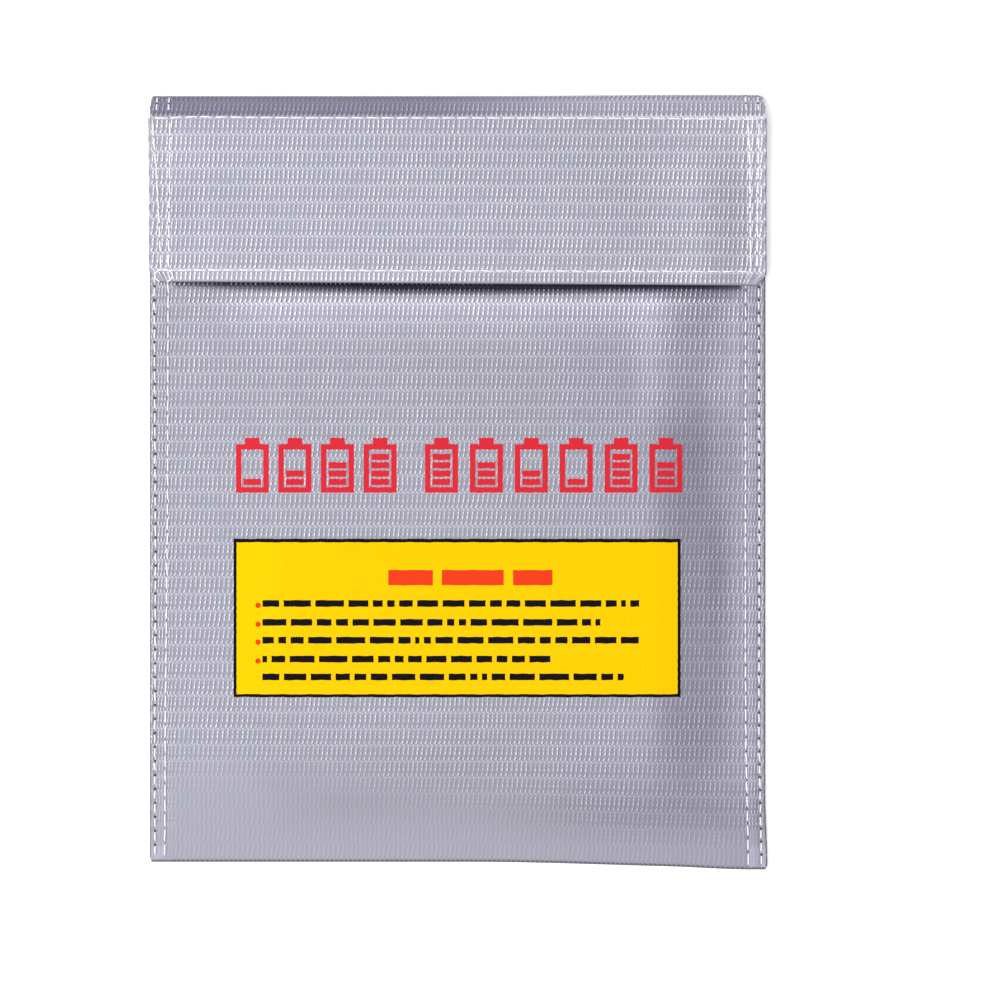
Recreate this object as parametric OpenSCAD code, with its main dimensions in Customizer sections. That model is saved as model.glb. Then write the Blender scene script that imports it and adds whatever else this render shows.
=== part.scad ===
// Flat woven pouch with a fold-over flap, lying closed on its back.
// +X is the width, +Y runs from the bottom fold to the flap's fold, +Z is up.
// The origin is under the middle of the pouch, on the table.

/* [Pouch] */
// Width of the pouch over its side seams
pouch_w = 234; // [190:1:340]
// Length from the bottom fold to the top fold
pouch_l = 295; // [230:1:420]
// Thickness of the coated glass-fibre cloth
cloth_t = 0.6; // [0.4:0.05:0.8]
// Height of the front panel's face above the table
loft = 6.6; // [6:0.1:12]
// Width of the flat side seam
seam_w = 9; // [8:0.5:14]
// Run over which the front panel rises from a side seam
flank_w = 20; // [12:1:30]
// Run over which the front panel rises from the bottom fold
toe_l = 52; // [20:1:60]
// Distance from the top fold back to the mouth's edge
mouth_back = 11.5; // [11:0.5:20]
// Depth of the hem turned under along the mouth
mouth_hem_w = 9; // [6:0.5:14]

/* [Flap] */
// Width of the flap, a little more than the pouch
flap_w = 235; // [191:1:341]
// Distance from the top fold to the flap's free edge
flap_reach = 72.1; // [50:0.1:100]
// Distance from the top fold back to the crease where the flap starts
crease_back = 7.3; // [6:0.1:9]
// Cut across each of the flap's free corners
corner_cut = 3.5; // [1:0.5:8]
// How far the fold opens, short of lying flat on the table
open_short = 1; // [0:0.5:10]

/* [Fastening] */
// Width of the hook tape and the loop tape
tape_w = 25; // [16:1:38]
// Length of both tapes
tape_l = 208; // [150:2:212]
// Thickness of the woven tape alone
tape_t = 0.5; // [0.4:0.1:0.8]
// Thickness of the loop tape with its pile
loop_t = 1.3; // [1.3:0.1:2]
// Thickness of the hook tape with its hooks
hook_t = 1.2; // [1.2:0.1:2]
// Plain border along each long side of a tape, where it is sewn
tape_border = 3.5; // [3:0.5:5]
// Distance from the flap's free edge to the hook tape
hook_inset = 9; // [6:0.5:14]
// Gap between the two tapes when the flap is closed
tape_gap = 0.3; // [0.3:0.1:1]

/* [Stitching] */
// Width of a stitch
thread_w = 0.7; // [0.5:0.1:1]
// Distance from one stitch to the next
stitch_pitch = 5.6; // [4:0.1:8]
// Length of a stitch as a share of that distance
stitch_share = 0.72; // [0.5:0.01:0.85]
// Distance from a side edge to the outer row
outer_row = 2.3; // [2:0.1:4]
// Distance from a side edge to the inner row
inner_row = 6.8; // [5.5:0.1:7.5]
// Distance from the flap's free edge to its lower row
edge_row = 5; // [4:0.5:7]

/* [Prints] */
// Thickness of the printed ink
ink_t = 0.15; // [0.1:0.05:0.3]
// Width of the printed panel with its border
panel_w = 170.6; // [100:0.1:172]
// Height of the printed panel with its border
panel_h = 60.6; // [40:0.1:70]
// Distance from the bottom fold to the printed panel
panel_up = 65.3; // [60:0.1:90]
// Width of the panel's border
border_w = 1.1; // [0.5:0.1:3]
// Height of the pictograms above the panel
icon_h = 20.8; // [10:0.1:30]
// Width of a pictogram
icon_w = 12.6; // [8:0.1:14]
// Distance from the panel to the pictograms
icon_gap = 17.6; // [8:0.1:24]
// Lines of bars on the panel
bar_lines = 5; // [2:1:6]

/* [Hidden] */
$fn = 32;
eps = 0.01;
half_w = pouch_w / 2;
half_l = pouch_l / 2;
half_t = cloth_t / 2;
roll_r = cloth_t;              // outside of one thickness turned back on itself
seam_top = 4 * cloth_t;        // two panels and their two turned-in edges
fold_r = seam_top / 2;         // outside of the bottom fold
fold_y = -half_l + fold_r;
toe_start = 3;                 // flat run above the bottom fold
mouth_y = half_l - mouth_back;
flat_x = half_w - seam_w - flank_w;

// heights of the layers above the table, from the front panel upwards
hook_z = loft + loop_t + tape_gap;
lining_z = hook_z + hook_t;
flap_z = lining_z + cloth_t;
flap_top = flap_z + cloth_t;

// the top fold leans from crease A on the table up to crease B at the flap
crease_b = [half_l - crease_back, flap_z + half_t];
crease_gap = 1;                // cloth stops this far from crease A
flap_gap = 0.45;               // and this far from crease B
lean = atan2(crease_b[1] - half_t, crease_back);
crease_a = [half_l + crease_gap * cos(lean) - half_t * sin(lean), half_t];
fold_run = norm(crease_b - crease_a);
fold_lean = atan2(crease_b[1] - crease_a[1], crease_a[0] - crease_b[0]);
fold_open = 180 - fold_lean - open_short;
flap_open = fold_lean - open_short;

flap_end = half_l - flap_reach;
tape_y = flap_end + hook_inset;
hem_w = 8.4;                   // cloth turned in along a side
row_out = half_w - outer_row;
row_in = half_w - inner_row;
stitch_l = stitch_pitch * stitch_share;

panel_y = -half_l + panel_up;
icon_y = panel_y + panel_h + icon_gap;

cloth_c = [0.71, 0.70, 0.75];
lining_c = [0.62, 0.61, 0.66];
thread_c = [0.96, 0.96, 0.97];
tape_c = [0.90, 0.90, 0.91];
pile_c = [0.84, 0.84, 0.86];
red_c = [0.80, 0.04, 0.06];
yellow_c = [0.96, 0.70, 0.0];
black_c = [0.04, 0.04, 0.05];

// ---------- the front panel's surface ----------

function ease(t) = let (c = min(1, max(0, t))) c * c * (3 - 2 * c);

// height of the front panel's face at a point
function face_z(x, y) = seam_top + (loft - seam_top)
    * ease((half_w - seam_w - abs(x)) / flank_w)
    * ease((y - fold_y - toe_start) / toe_l);

// its slope across the width, in degrees
function face_tilt(x, y) = atan((face_z(x + 0.05, y) - face_z(x - 0.05, y)) / 0.1);

// lines across the width out to half, close together only where the panel bends
function side_lines(half, steps) = [for (i = [0:steps])
    let (x = flat_x + i * flank_w / steps) if (x < half - 1) x];
function across(half, steps = 10) = let (s = side_lines(half, steps), n = len(s))
    concat([-half], [for (i = [1:n]) -s[n - i]], s, [half]);

// lines along the length
function along(steps = 14) = concat([fold_y],
    [for (i = [0:steps]) fold_y + toe_start + i * toe_l / steps], [mouth_y]);

// a layer of cloth that follows the front panel's face, from low to low + thick above it
module laid(xs, ys, low, thick) {
    nx = len(xs);
    ny = len(ys);
    n = nx * ny;
    grid = [for (h = [low, low + thick], y = ys, x = xs) [x, y, face_z(x, y) + h]];
    polyhedron(points = grid, convexity = 6, faces = concat(
        [for (j = [0:ny - 2], i = [0:nx - 2], k = [0, 1]) let (a = j * nx + i)
            k == 0 ? [a, a + 1, a + nx + 1] : [a, a + nx + 1, a + nx]],
        [for (j = [0:ny - 2], i = [0:nx - 2], k = [0, 1]) let (a = n + j * nx + i)
            k == 0 ? [a, a + nx + 1, a + 1] : [a, a + nx, a + nx + 1]],
        [for (i = [0:nx - 2], k = [0, 1]) k == 0 ? [i, n + i, n + i + 1] : [i, n + i + 1, i + 1]],
        [for (i = [0:nx - 2], k = [0, 1]) let (a = (ny - 1) * nx + i)
            k == 0 ? [a, n + a + 1, n + a] : [a, a + 1, n + a + 1]],
        [for (j = [0:ny - 2], k = [0, 1]) let (a = j * nx)
            k == 0 ? [a, n + a + nx, n + a] : [a, a + nx, n + a + nx]],
        [for (j = [0:ny - 2], k = [0, 1]) let (a = j * nx + nx - 1)
            k == 0 ? [a, n + a, n + a + nx] : [a, n + a + nx, a + nx]]));
}

// ---------- stitches ----------

// one stitch along X, lying on z = 0
module stitch(l = stitch_l) {
    intersection() {
        translate([-l / 2, 0, 0]) rotate([0, 90, 0]) cylinder(d = thread_w, h = l);
        translate([-l, -thread_w, 0]) cube([2 * l, 2 * thread_w, thread_w]);
    }
}

// a row of stitches along Y from y0 to y1 at one height
module row_y(x, y0, y1, z) {
    count = floor((y1 - y0) / stitch_pitch);
    pitch = (y1 - y0) / count;
    for (i = [0:count - 1])
        translate([x, y0 + (i + 0.5) * pitch, z]) rotate([0, 0, 90]) stitch();
}

// a row of stitches along X from x0 to x1 at one height
module row_x(x0, x1, y, z) {
    count = floor((x1 - x0) / stitch_pitch);
    pitch = (x1 - x0) / count;
    for (i = [0:count - 1]) translate([x0 + (i + 0.5) * pitch, y, z]) stitch();
}

// a row along X that follows the front panel, lift above its face
module row_laid(half, y, lift) {
    count = floor(2 * half / stitch_pitch);
    pitch = 2 * half / count;
    for (i = [0:count - 1]) {
        x = -half + (i + 0.5) * pitch;
        bend = abs(face_tilt(x + 2, y) - face_tilt(x - 2, y)) / 60;
        translate([x, y, face_z(x, y) + lift + bend]) rotate([0, -face_tilt(x, y), 0])
            stitch(stitch_l);
    }
}

// ---------- the pouch ----------

module back_panel() {
    color(cloth_c) translate([-half_w + roll_r, fold_y, 0])
        cube([pouch_w - 2 * roll_r, crease_a[0] - crease_gap - fold_y, cloth_t]);
}

// the strip of cloth turns up here without a seam
module bottom_fold() {
    color(cloth_c) intersection() {
        translate([-half_w + roll_r, fold_y, fold_r]) rotate([0, 90, 0]) difference() {
            cylinder(r = fold_r, h = pouch_w - 2 * roll_r);
            translate([0, 0, -1]) cylinder(r = fold_r - cloth_t, h = pouch_w + 2);
        }
        translate([-half_w, fold_y - 2 * fold_r, -1]) cube([pouch_w, 2 * fold_r, seam_top + 2]);
    }
}

module front_panel() {
    color(cloth_c) laid(across(half_w - roll_r), along(), -cloth_t, cloth_t);
}

// the turned-in edges of both panels on one side, face to face
module side_seam() {
    back_l = crease_a[0] - 3 - fold_y;
    front_l = mouth_y - fold_y;
    translate([half_w - roll_r, fold_y, 0]) {
        translate([-hem_w, 0, cloth_t]) cube([hem_w, back_l, cloth_t]);
        translate([-hem_w, 0, 2 * cloth_t]) cube([hem_w, front_l, cloth_t]);
        intersection() {
            union() {
                translate([0, 0, cloth_t]) rotate([-90, 0, 0]) cylinder(r = roll_r, h = back_l);
                translate([0, 0, 3 * cloth_t]) rotate([-90, 0, 0])
                    cylinder(r = roll_r, h = front_l);
            }
            translate([0, -1, -1]) cube([2 * roll_r, back_l + 2, seam_top + 2]);
        }
    }
}

module side_seam_left() {
    color(lining_c) mirror([1, 0, 0]) side_seam();
}

module side_seam_right() {
    color(lining_c) side_seam();
}

// turned under along the mouth, between the two side seams
module mouth_hem() {
    color(lining_c) laid(across(half_w - seam_w - 0.2),
        [mouth_y - mouth_hem_w, mouth_y], -2 * cloth_t, cloth_t);
}

module loop_tape() {
    color(tape_c) laid(across(tape_l / 2), [tape_y, tape_y + tape_w], 0, tape_t);
}

// the looped pile between the tape's two plain borders
module loop_pile() {
    color(pile_c) laid(across(tape_l / 2),
        [tape_y + tape_border, tape_y + tape_w - tape_border], tape_t, loop_t - tape_t);
}

module side_thread_left_outer() {
    color(thread_c) row_y(-row_out, fold_y + 1, mouth_y - 1, seam_top);
}

module side_thread_left_inner() {
    color(thread_c) row_y(-row_in, fold_y + 1, mouth_y - 1, seam_top);
}

module side_thread_right_outer() {
    color(thread_c) row_y(row_out, fold_y + 1, mouth_y - 1, seam_top);
}

module side_thread_right_inner() {
    color(thread_c) row_y(row_in, fold_y + 1, mouth_y - 1, seam_top);
}

module mouth_thread() {
    color(thread_c) row_laid(half_w - seam_w - 1, mouth_y - mouth_hem_w + 2, 0);
}

module loop_tape_thread() {
    color(thread_c) for (y = [tape_y + tape_border / 2, tape_y + tape_w - tape_border / 2])
        row_laid(tape_l / 2 - 1, y, tape_t);
}

// ---------- prints on the front panel ----------

// an upright cell with a contact on top and a number of level bars
module cell(levels) {
    wall = 2.1;
    body_h = icon_h - 2.4;
    bar = (body_h - 2 * wall - 1.6) / 4;
    linear_extrude(ink_t) {
        difference() {
            square([icon_w, body_h]);
            translate([wall, wall]) square([icon_w - 2 * wall, body_h - 2 * wall]);
        }
        translate([icon_w * 0.28, body_h - eps]) square([icon_w * 0.44, icon_h - body_h + eps]);
        for (i = [0:levels - 1]) translate([wall + 0.8, wall + 0.8 + i * bar])
            square([icon_w - 2 * wall - 1.6, bar - 0.8]);
    }
}

module icon_print() {
    first = 4;
    second = 6;
    step = (panel_w - icon_w * (first + second) - 10.7) / (first + second - 2) + icon_w;
    color(red_c) translate([-panel_w / 2, icon_y, loft]) {
        for (i = [0:first - 1]) translate([i * step, 0, 0]) cell(i + 1);
        for (i = [0:second - 1])
            translate([panel_w - icon_w - i * step, 0, 0]) cell(1 + (i + 2) % 4);
    }
}

module panel_print() {
    color(yellow_c) translate([-panel_w / 2 + border_w, panel_y + border_w, loft])
        cube([panel_w - 2 * border_w, panel_h - 2 * border_w, ink_t]);
}

module panel_border() {
    color(black_c) translate([-panel_w / 2, panel_y, loft]) linear_extrude(ink_t)
        difference() {
            square([panel_w, panel_h]);
            translate([border_w, border_w]) square([panel_w - 2 * border_w, panel_h - 2 * border_w]);
        }
}

// three plain bars above the lines
module panel_heading() {
    bars = [[-26.4, 17], [-6.2, 24], [21.2, 15]];
    color(red_c) for (b = bars)
        translate([b[0], panel_y + panel_h * 0.71, loft + ink_t]) cube([b[1], 5.4, ink_t]);
}

function line_y(i) = panel_y + panel_h * 0.575 - i * panel_h * 0.116;
function bar_l(i, j) = 6.6 + 3.6 * sin(97 * i + 61 * j) + 1.6 * sin(41 * j - 23 * i);
function bar_x(i, j) = j == 0 ? 0 : bar_x(i, j - 1) + bar_l(i, j - 1) + 1.8;

// plain bars in place of lines of type
module panel_bars() {
    line_l = panel_w * 0.84;
    color(black_c) for (i = [0:bar_lines - 1], j = [0:24])
        if (bar_x(i, j) + bar_l(i, j) < line_l * (0.86 + 0.14 * sin(70 + 130 * i)))
            translate([-panel_w * 0.437 + bar_x(i, j), line_y(i), loft + ink_t])
                cube([bar_l(i, j), 2.6, ink_t]);
}

module panel_dots() {
    color(red_c) for (i = [0:bar_lines - 2])
        translate([-panel_w * 0.452, line_y(i) + 1.3, loft + ink_t])
            cylinder(r = 1.1, h = ink_t);
}

// ---------- the top fold, between crease A and crease B ----------

// leans what is drawn from crease A along +Y with its outer face at z = 0
module leaning() {
    translate([0, crease_a[0], crease_a[1]]) rotate([180 - fold_lean, 0, 0])
        translate([0, 0, -half_t]) children();
}

module top_fold() {
    color(cloth_c) leaning() translate([-flap_w / 2, crease_gap, 0])
        cube([flap_w, fold_run - crease_gap - flap_gap, cloth_t]);
}

// cloth turned in along the fold's two ends
module top_fold_hem(side) {
    hem_l = fold_run - crease_gap - flap_gap - 3.2;
    color(lining_c) leaning() translate([side * (flap_w / 2 - hem_w / 2) - hem_w / 2,
        crease_gap + 1.6, cloth_t]) cube([hem_w, hem_l, cloth_t]);
}

module top_fold_hem_left() {
    top_fold_hem(-1);
}

module top_fold_hem_right() {
    top_fold_hem(1);
}

module top_fold_thread(side) {
    color(thread_c) leaning() for (row = [row_out, row_in], i = [0, 1])
        translate([side * row, crease_gap + 2.6 + i * 5, 0]) rotate([0, 0, 90])
            mirror([0, 0, 1]) stitch(3.6);
}

module top_fold_thread_left() {
    top_fold_thread(-1);
}

module top_fold_thread_right() {
    top_fold_thread(1);
}

// ---------- the flap ----------

flap_back = crease_b[0] - flap_gap;

// the flap's outline, drawn in by a distance on its three free sides
function flap_outline(by) = let (x = flap_w / 2 - by, y = flap_end + by,
    c = corner_cut - by * (2 - sqrt(2)))
    [[-x, flap_back], [-x, y + c], [-x + c, y], [x - c, y], [x, y + c], [x, flap_back]];

module flap_panel() {
    color(cloth_c) translate([0, 0, flap_z]) linear_extrude(cloth_t)
        polygon(flap_outline(roll_r));
}

module flap_lining() {
    color(lining_c) intersection() {
        translate([0, 0, lining_z]) linear_extrude(cloth_t) polygon(flap_outline(roll_r));
        translate([-flap_w, flap_end, 0]) cube([2 * flap_w, flap_back - 1.2 - flap_end, 20]);
    }
}

// cloth rolled around the flap's free sides, mitred at the corners
module flap_rolled_edge() {
    line = flap_outline(roll_r);
    out = flap_outline(-roll_r);
    end_y = flap_back - 1.2;
    color(cloth_c) intersection() {
        for (i = [0:4]) {
            run = norm(line[i + 1] - line[i]);
            intersection() {
                translate([line[i][0], line[i][1], flap_z]) rotate([0, 0, -90 + 45 * i])
                    rotate([0, 90, 0]) translate([0, 0, -1]) cylinder(r = roll_r, h = run + 2, $fn = 12);
                translate([0, 0, lining_z - 1]) linear_extrude(4)
                    polygon([line[i], line[i + 1], out[i + 1], out[i]]);
            }
        }
        translate([-flap_w, flap_end - 1, 0]) cube([2 * flap_w, end_y - flap_end + 1, 20]);
    }
}

module hook_tape() {
    color(tape_c) translate([-tape_l / 2, tape_y, lining_z - tape_t])
        cube([tape_l, tape_w, tape_t]);
}

// the field of hooks between the tape's two plain borders
module hook_field() {
    color(pile_c) translate([-tape_l / 2, tape_y + tape_border, hook_z])
        cube([tape_l, tape_w - 2 * tape_border, hook_t - tape_t]);
}

module flap_thread_top() {
    color(thread_c) row_x(-row_out + 1, row_out - 1, flap_back - 1, flap_top);
}

module flap_thread_bottom() {
    color(thread_c) row_x(-row_out + 4, row_out - 4, flap_end + edge_row, flap_top);
}

module flap_thread_side(side) {
    color(thread_c) for (row = [row_out, row_in])
        row_y(side * row, flap_end + edge_row + 1, flap_back - 2, flap_top);
}

module flap_thread_left() {
    flap_thread_side(-1);
}

module flap_thread_right() {
    flap_thread_side(1);
}

module hook_tape_thread() {
    color(thread_c) for (y = [tape_y + tape_border / 2, tape_y + tape_w - tape_border / 2])
        translate([0, 0, lining_z - tape_t]) mirror([0, 0, 1]) row_x(-tape_l / 2 + 1, tape_l / 2 - 1, y, 0);
}

back_panel();
bottom_fold();
front_panel();
side_seam_left();
side_seam_right();
mouth_hem();
loop_tape();
loop_pile();
side_thread_left_outer();
side_thread_left_inner();
side_thread_right_outer();
side_thread_right_inner();
mouth_thread();
loop_tape_thread();
icon_print();
panel_print();
panel_border();
panel_heading();
panel_bars();
panel_dots();
top_fold();
top_fold_hem_left();
top_fold_hem_right();
top_fold_thread_left();
top_fold_thread_right();
flap_panel();
flap_lining();
flap_rolled_edge();
hook_tape();
hook_field();
flap_thread_top();
flap_thread_bottom();
flap_thread_left();
flap_thread_right();
hook_tape_thread();
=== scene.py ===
import math

import bmesh
import bpy
import numpy as np
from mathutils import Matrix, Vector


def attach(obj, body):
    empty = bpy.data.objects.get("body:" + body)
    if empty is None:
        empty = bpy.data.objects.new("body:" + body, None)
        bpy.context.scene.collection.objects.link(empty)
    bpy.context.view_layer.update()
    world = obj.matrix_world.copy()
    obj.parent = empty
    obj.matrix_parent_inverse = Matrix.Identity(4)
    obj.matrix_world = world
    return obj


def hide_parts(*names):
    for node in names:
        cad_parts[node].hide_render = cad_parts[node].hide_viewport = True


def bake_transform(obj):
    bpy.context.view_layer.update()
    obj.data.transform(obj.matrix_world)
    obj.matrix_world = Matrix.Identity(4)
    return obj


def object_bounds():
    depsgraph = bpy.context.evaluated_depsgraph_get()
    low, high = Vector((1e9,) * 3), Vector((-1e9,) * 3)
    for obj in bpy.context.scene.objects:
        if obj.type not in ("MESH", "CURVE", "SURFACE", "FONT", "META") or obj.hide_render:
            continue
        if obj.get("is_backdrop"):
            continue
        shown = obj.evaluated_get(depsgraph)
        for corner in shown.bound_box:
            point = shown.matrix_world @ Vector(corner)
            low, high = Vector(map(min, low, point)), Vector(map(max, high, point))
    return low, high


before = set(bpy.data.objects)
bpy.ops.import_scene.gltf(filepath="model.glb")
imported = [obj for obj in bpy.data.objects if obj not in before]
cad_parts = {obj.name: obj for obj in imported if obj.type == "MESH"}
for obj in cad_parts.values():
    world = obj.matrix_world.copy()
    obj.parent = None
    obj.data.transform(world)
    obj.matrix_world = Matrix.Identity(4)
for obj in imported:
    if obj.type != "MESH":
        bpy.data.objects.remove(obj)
cad_low, cad_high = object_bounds()

# ---------------------------------------------------------------------------
# Pouch cloth: one strip of silver-coated glass-fibre cloth makes the front, turns up
# at the bottom without a seam, makes the back and starts the top fold. Its coating
# is worn smooth near the bottom and painted lighter there as a sheen; painted shade and
# painted light lie on it too. Sizes are in millimetres until a mesh is made.
MM = 0.001
CLOTH = 0.6  # the cloth's thickness
SEAM_TOP = 2.4  # four layers, sewn through
HALF = 116.4  # half of the width
MOUTH_Y = 136.0
BOTTOM_Y = -146.3
BACK_TOP = 144.4  # where the back turns up into the top fold
LOFT = 4.2  # how high the slack front stands above its sewn sides
DIP = 3.0  # how deep it dips under the flap's edge
TURN_RUN = 2.8  # cloth used by the bottom turn
CREASE_RUN = 0.8  # cloth used by the crease at the back's top
FOLD_RUN = 14  # cloth used by the top fold
WEAVE_START = 3.5  # moves the weave's rows along the cloth
FINE = 0.0001  # height of the weave's relief, in metres


def ease(t):
    """A smooth step from 0 to 1."""
    t = np.clip(t, 0.0, 1.0)
    return t * t * (3 - 2 * t)


def bell(t):
    """A smooth bump, 1 high."""
    return np.exp(-np.square(t))


def slack(x, y):
    """Slow unevenness of cloth that has been folded and handled."""
    waves = (
        (0.16, 0.031, 0.043, 0.4),
        (0.12, -0.052, 0.021, 2.1),
        (0.09, 0.017, -0.081, 4.0),
        (0.06, 0.093, 0.060, 1.3),
        (0.05, -0.071, 0.112, 5.2),
    )
    return sum(a * np.sin(kx * x + ky * y + p) for a, kx, ky, p in waves)


def settle(x, y):
    """Where a point of the square pouch lies: it has crept out of square towards the bottom."""
    near_bottom = ease((-118 - y) / 28)
    up = 2.2 * (1 - ease((x - 5) / 108)) * ease((-75 - y) / 72)
    drop = 0.7 * ease((x - 80) / 30) * near_bottom
    out = 0.8 * ease((x - 85) / 32) * near_bottom - 0.7 * ease((-60 - x) / 50) + 0.6 * ease((x - 60) / 50)
    return x + out, y + up - drop


def side_rows(x, y):
    """How deep the two rows of stitches down each side pull the cloth in."""
    pull = 0
    for row, pitch in ((114.7, 5.35), (110.2, 5.6)):
        pull = pull + bell((np.abs(x) - row) / 0.75) * (0.62 + 0.38 * np.cos(2 * np.pi * y / pitch))
    return 0.2 * pull


def face(x, y):
    """Height of the front's outer side."""
    flank = 36 + 14 * ease((-x - 40) / 50)
    rise = ease((108 - np.abs(x)) / flank) * ease((y + 143.3) / 60)
    z = SEAM_TOP + LOFT * rise + slack(x, y) * ease(rise * 3) - side_rows(x, y)
    # the cloth dips under the flap's edge, below the sewn tape
    brink = 73.9 - 1.7 * bell((x - 10) / 80)
    z = z - DIP * rise * ease((y - brink) / 3.4) * ease((84.6 - y) / 6.5)
    return z + rise * (0.85 * bell((y - brink + 1.5) / 3.2) + 0.6 * bell((y - 60.5) / 8.0))


def placed(name, mesh):
    """Puts a mesh in the scene as an object."""
    made = bpy.data.objects.new(name, mesh)
    bpy.context.collection.objects.link(made)
    return made


def store(mesh, word, values):
    """Stores a number or a direction on each point of a mesh."""
    kind, key = ("FLOAT", "value") if values.ndim == 1 else ("FLOAT_VECTOR", "vector")
    mesh.attributes.new(word, kind, "POINT").data.foreach_set(key, values.astype(np.float32).ravel())


def lay_weave(mesh, places):
    """Stores each point's place on the cloth as the UV map that the weave follows."""
    index = np.zeros(len(mesh.loops), np.int32)
    mesh.loops.foreach_get("vertex_index", index)
    mesh.uv_layers.new(name="cloth").data.foreach_set("uv", places[index].astype(np.float32).ravel())


def closed_cloth(name, outer, inner, uv, worn_and_sheen=None, shade=None, cool=None):
    """A closed sheet between two grids of points, with its place on the cloth, and with how
    worn smooth and painted with sheen its coating is, its painted shade and light, and its violet cast."""
    rows, cols = outer.shape[:2]
    n = rows * cols
    at = np.arange(n).reshape(rows, cols)
    a, b, c, d = at[:-1, :-1], at[1:, :-1], at[1:, 1:], at[:-1, 1:]
    quads = [np.stack([a, b, c, d], -1).reshape(-1, 4)]
    quads.append(np.stack([d, c, b, a], -1).reshape(-1, 4) + n)
    for line, flip in ((at[:, 0], False), (at[:, -1], True), (at[0, :], True), (at[-1, :], False)):
        p, q = line[:-1], line[1:]
        quad = np.stack([p, p + n, q + n, q], -1)
        quads.append(quad[:, ::-1] if flip else quad)
    quads = np.concatenate(quads)
    mesh = bpy.data.meshes.new(name)
    points = np.concatenate([outer.reshape(-1, 3), inner.reshape(-1, 3)]) * MM
    mesh.from_pydata(points.tolist(), [], quads.tolist())
    lay_weave(mesh, np.concatenate([uv.reshape(-1, 2)] * 2))
    for word, value, inside in (("worn_and_sheen", worn_and_sheen, 1), ("shade", shade, 0), ("cool", cool, 0)):
        if value is None:
            value = np.zeros((rows, cols))
        store(mesh, word, np.concatenate([value.ravel(), inside * value.ravel()]))
    mesh.polygons.foreach_set("use_smooth", np.ones(len(quads), bool))
    mesh.set_sharp_from_angle(angle=math.radians(55))
    return placed(name, mesh)


def columns(limit):
    """Places across the width, close together along the sewn sides."""
    fine = np.arange(105.0, HALF, 0.52)
    flank = np.linspace(86, 104.2, 13)
    plain = np.linspace(-84, 84, 77)
    half = np.concatenate([flank, fine, [HALF]])
    return np.concatenate([-half[::-1], plain, half]) * limit / HALF


def tools(tree):
    """Short ways to build a node tree: put adds a node, maths adds a sum and gives its result,
    and wire links a result to an input. Inputs go by place or by name, as values or results."""

    def wire(value, node, key):
        tree.links.new(value, node.inputs[key])

    def put(kind, inputs=(), **settings):
        node = tree.nodes.new(kind)
        for key, value in settings.items():
            setattr(node, key, value)
        for key, value in inputs.items() if isinstance(inputs, dict) else enumerate(inputs):
            if isinstance(value, bpy.types.NodeSocket):
                wire(value, node, key)
            else:
                node.inputs[key].default_value = value
        return node

    def maths(operation, *values):
        return put("ShaderNodeMath", values, operation=operation).outputs[0]

    return put, maths, wire


def ramp(put, value, *stops):
    """Colours along a value; a stop is its place and its colour."""
    node = put("ShaderNodeValToRGB", [value])
    line = node.color_ramp.elements
    for end, (at, colour) in ((0, stops[0]), (1, stops[-1])):
        line[end].position, line[end].color = at, (*colour, 1)
    for at, colour in stops[1:-1]:
        line.new(at).color = (*colour, 1)
    return node.outputs[0]


def new_finish(name, **values):
    """A new material and its shader, whose own values are set; _ stands for a space in their names."""
    finish = bpy.data.materials.new(name)
    finish.use_nodes = True
    skin = finish.node_tree.nodes["Principled BSDF"]
    for word, value in values.items():
        skin.inputs[word.replace("_", " ")].default_value = value
    return finish, skin


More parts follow.
